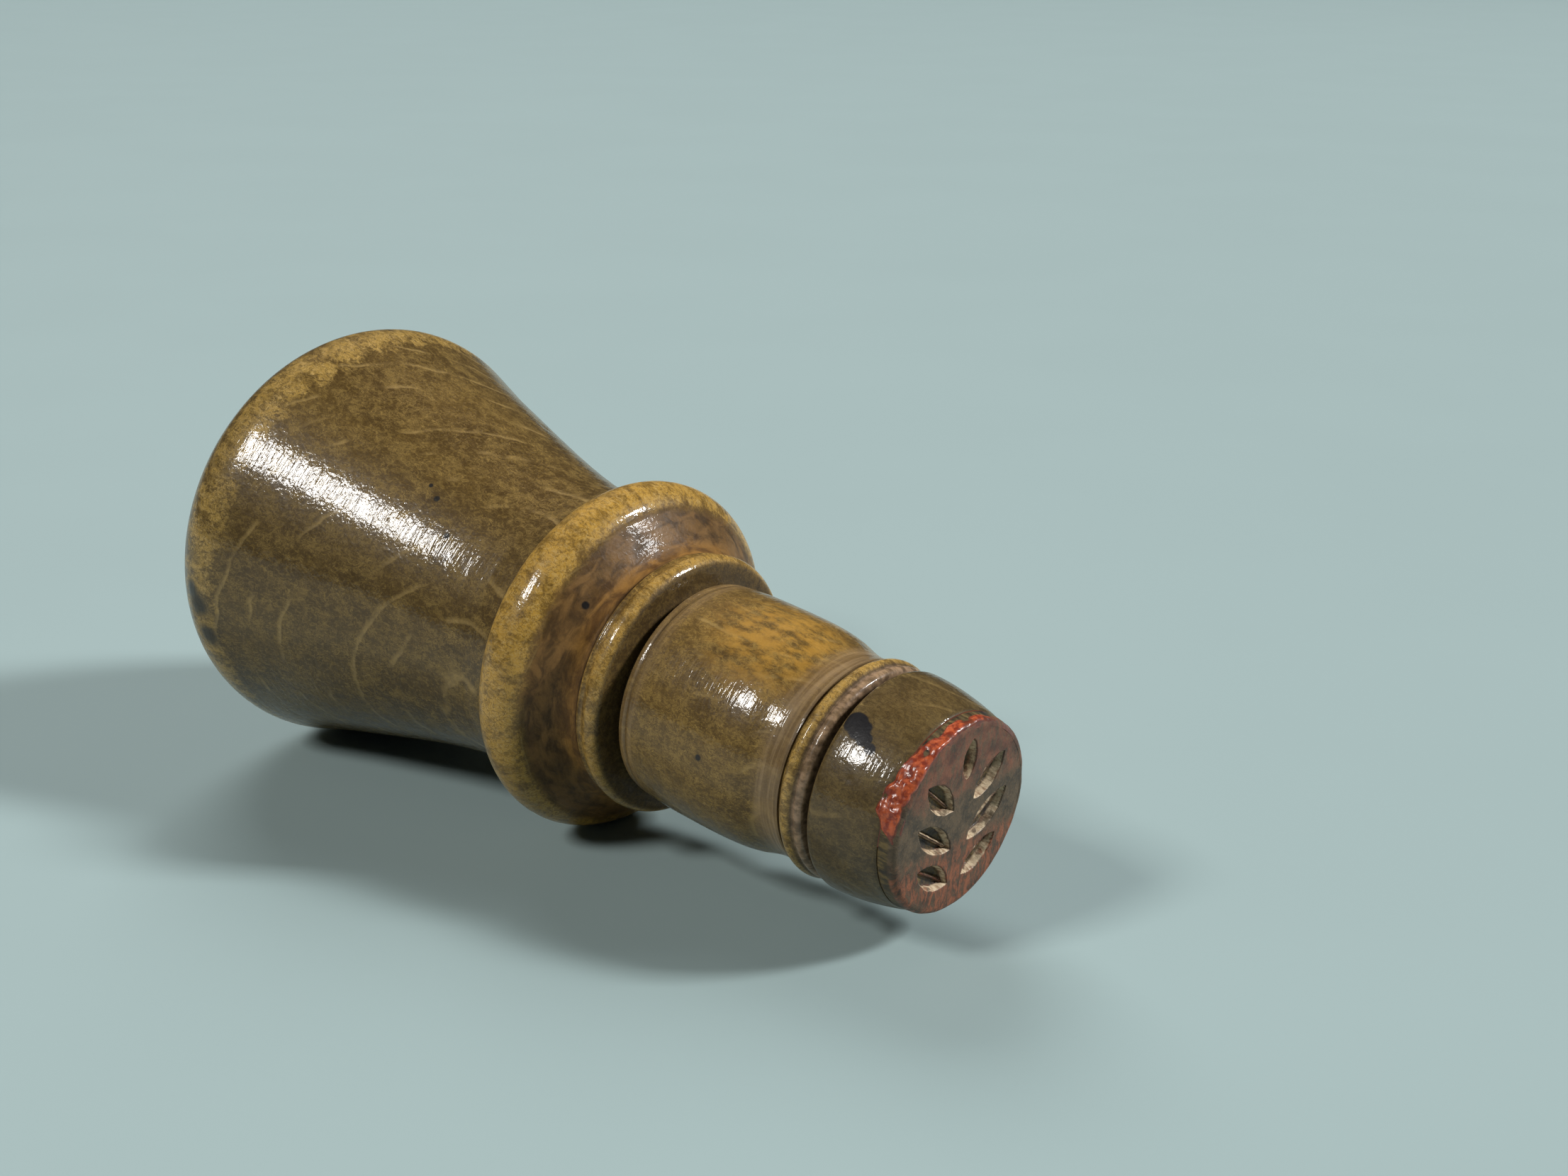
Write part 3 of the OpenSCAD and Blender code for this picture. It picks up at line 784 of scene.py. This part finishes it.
def ink_crust():
    """Lumps of dried red ink along the rim: a closed skin that comes out of the wood."""
    rounding = np.radians(np.arange(10, 91, 8.0))
    path = [(0.0, FLAT_RADIUS - INK_START), (0.0, FLAT_RADIUS)]
    path += [(DIE_EDGE - DIE_EDGE * math.cos(a), FLAT_RADIUS + DIE_EDGE * math.sin(a)) for a in rounding]
    path += [(1.0, 7.93), (1.5, 8.0)]
    path += [tuple(p) for p in outline_of("head")[0] if 1.7 < p[0] < 4.6]
    path = flowing(np.array(path), 0.045)
    along = np.concatenate([[0.0], np.cumsum(np.hypot(*np.diff(path, axis=0).T))]) - INK_START
    slope = np.gradient(path, axis=0)
    slope /= np.hypot(slope[:, 0], slope[:, 1])[:, None]
    outward = np.stack([-slope[:, 1], slope[:, 0]], axis=1)
    use = (along > 0.05) & (along < 3.4)
    path, along, outward = path[use], along[use], outward[use]
    reach = np.array(INK_REACH)
    rows, amount = [], []
    for angle in np.arange(*INK_TURN):
        t = np.full(len(path), math.radians(angle))
        spot = polar(path[:, 0], path[:, 1], t)
        back = np.interp(angle, reach[:, 0], reach[:, 1]) + 0.5 * float(cloud(spot[:1], 1.3, 113, 3)[0])
        thick = np.interp(angle, reach[:, 0], reach[:, 2])
        front = 0.35 + 0.25 * smooth(-60.0, -72.0, angle) + 0.15 * float(cloud(spot[:1], 0.9, 127, 2)[0])
        body = smooth(back + 0.1, back - 0.35, along) * smooth(front - 0.15, front + 0.25, along)
        lumps = 0.6 + 0.8 * cloud(spot, 0.95, 131, 2) + 0.2 * cloud(spot, 0.4, 137, 2)
        height = body * thick * np.clip(lumps, 0.0, 1.4) - 0.035 - 0.03 * (1 - body)
        height = np.maximum(height, -0.10)
        skin = path + outward * height[:, None]
        under = path - outward * INK_ROOT
        loop = np.concatenate([skin, under[::-1]])
        rows.append(polar(loop[:, 0], loop[:, 1], np.full(len(loop), t[0])))
        amount.append(np.concatenate([height, 0 * height]))
    for end in (0, -1):
        centre = rows[end].mean(axis=0, keepdims=True)
        rows.insert(0 if end == 0 else len(rows), centre)
        amount.insert(0 if end == 0 else len(amount), np.zeros(1))
    build("ink_crust", rows, False, dried_ink(), "die_wood", None, {"thick": np.concatenate(amount)})


def dried_ink():
    """Glossy, lumpy vermilion, darker where it is thin."""
    s = Shader("dried_ink", Coat_Weight=0.4, Coat_Roughness=0.16, Specular_IOR_Level=0.3)
    fine = s.noise(s.scaled(2.4, 2.4, 2.4), 3.0, 0.55)
    patch = s.noise(s.scaled(1.2, 1.2, 1.2), 3.0, 0.6, shift=4.0)
    colour = s.mix(s.ramp(fine, 0.35, 0.65), (0.17, 0.023, 0.009), (0.40, 0.082, 0.026))
    colour = s.mix(s.math("MULTIPLY", s.ramp(patch, 0.5, 0.7), 0.5), colour, (0.11, 0.017, 0.009))
    colour = s.mix(s.ramp(s.attribute("thick"), 0.0, 0.05, 0.75, 0.0), colour, (0.055, 0.020, 0.012))
    normal = s.bump(fine, 0.07 * MM, strength=0.6)
    return s.finish(colour, s.ramp(patch, 0.3, 0.7, 0.3, 0.5), normal)


ink_crust()


# ---------------------------------------------------------------- the hidden dowel
def dowel_wood():
    """Plain straight-grained dowel, dry and unvarnished."""
    s = Shader("dowel_wood", Specular_IOR_Level=0.25)
    fibre = s.noise(s.scaled(4.0, 4.0, 0.25), 4.0, 0.6)
    pores = s.noise(s.scaled(7.0, 7.0, 0.7), 2.0, 0.5, shift=8.0)
    colour = s.mix(s.ramp(fibre, 0.35, 0.65), (0.42, 0.28, 0.14), (0.62, 0.46, 0.26))
    colour = s.mix(s.math("MULTIPLY", s.ramp(pores, 0.6, 0.7), 0.6), colour, (0.25, 0.15, 0.07))
    return s.finish(colour, s.ramp(fibre, 0.3, 0.7, 0.6, 0.75), s.bump(fibre, 0.04 * MM, strength=0.5))


for material_slot in frame["nodes"]["core_dowel"].material_slots:
    material_slot.material = dowel_wood()


# ---------------------------------------------------------------- floor, light and camera
def flat_material(name, colour, roughness):
    """A matt colour with a barely uneven tone and surface."""
    s = Shader(name)
    tone = s.noise(s.scaled(0.02, 0.02, 0.02), 3.0)
    tint = s.mix(s.ramp(tone, 0.3, 0.7), tuple(0.985 * c for c in colour), colour)
    grain = s.noise(s.scaled(0.5, 0.5, 0.5), 2.0)
    return s.finish(tint, roughness, s.bump(grain, 0.02 * MM, strength=0.2))


# The floor's rings in metres, the points on each, and its colour
FLOOR_RINGS = (0.2, 0.6, 1.5, 4.0, 9.0)
FLOOR_TURNS = 48
PALE_AQUA = (0.25, 0.325, 0.325)


def round_floor():
    """A flat disc of rings that widen outwards."""
    angles = [2 * math.pi * i / FLOOR_TURNS for i in range(FLOOR_TURNS)]
    verts = [(r * math.cos(a), r * math.sin(a), 0.0) for r in FLOOR_RINGS for a in angles]
    verts.append((0.0, 0.0, 0.0))
    faces = []
    for inner in range(0, (len(FLOOR_RINGS) - 1) * FLOOR_TURNS, FLOOR_TURNS):
        outer = inner + FLOOR_TURNS
        for i in range(FLOOR_TURNS):
            following = (i + 1) % FLOOR_TURNS
            faces.append((inner + i, outer + i, outer + following, inner + following))
    faces += [(len(verts) - 1, i, (i + 1) % FLOOR_TURNS) for i in range(FLOOR_TURNS)]
    mesh = bpy.data.meshes.new("floor")
    mesh.from_pydata(verts, [], faces)
    mesh.materials.append(flat_material("pale_floor", PALE_AQUA, 0.6))
    disc = bpy.data.objects.new("floor", mesh)
    bpy.context.scene.collection.objects.link(disc)
    return disc


floor = round_floor()

world = bpy.data.worlds.new("studio")
world.use_nodes = True
background = world.node_tree.nodes["Background"]
background.inputs["Color"].default_value = (0.74, 0.84, 0.86, 1.0)
background.inputs["Strength"].default_value = 0.05
bpy.context.scene.world = world

# The lamps' distance from the middle of the object, in metres, and their colours
middle = Vector([(a + b) / 2 for a, b in zip(cad_lo, cad_hi)])
LAMP_DISTANCE = 4.0
WHITE = (1.0, 1.0, 1.0)
WARM_WHITE = (1.0, 0.98, 0.95)


def soft_light(name, direction, width, height, watts, colour=WHITE, mirrored=True):
    """A rectangular lamp facing the object. One that isn't mirrored only fills in the shade."""
    light = bpy.data.lights.new(name, "AREA")
    light.shape = "RECTANGLE"
    light.size, light.size_y = width, height
    light.energy = watts
    light.color = colour
    lamp = bpy.data.objects.new(name, light)
    toward = Vector(direction).normalized()
    lamp.location = middle + toward * LAMP_DISTANCE
    lamp.rotation_euler = toward.to_track_quat("Z", "Y").to_euler()
    lamp.visible_glossy = mirrored
    bpy.context.scene.collection.objects.link(lamp)


soft_light("main", (-0.2, -0.7, 0.68), 0.82, 0.90, 118.0, WARM_WHITE)
soft_light("over_back", (-0.59, 0.41, 0.69), 2.2, 2.2, 110.0, mirrored=False)
soft_light("right", (0.65, 0.50, 0.57), 0.6, 0.6, 185.0)

# The camera: where it stands from the die face in mm, how far it looks down and which way it is turned
CAMERA_FROM_FACE = (87.01, -116.98, 64.98)
CAMERA_DOWN = math.radians(17.928)
CAMERA_TURN = math.radians(41.85)
camera_data = bpy.data.cameras.new("camera")
camera_data.sensor_width = 36.0
camera_data.lens = 48.82
camera_data.clip_start, camera_data.clip_end = 0.01, 50.0
camera = bpy.data.objects.new("camera", camera_data)
camera.location = Vector(FACE) + Vector(CAMERA_FROM_FACE) * MM
camera.rotation_euler = (math.pi / 2 - CAMERA_DOWN, 0.0, CAMERA_TURN)
bpy.context.scene.collection.objects.link(camera)
bpy.context.scene.camera = camera

bpy.context.scene.view_settings.view_transform = "Standard"
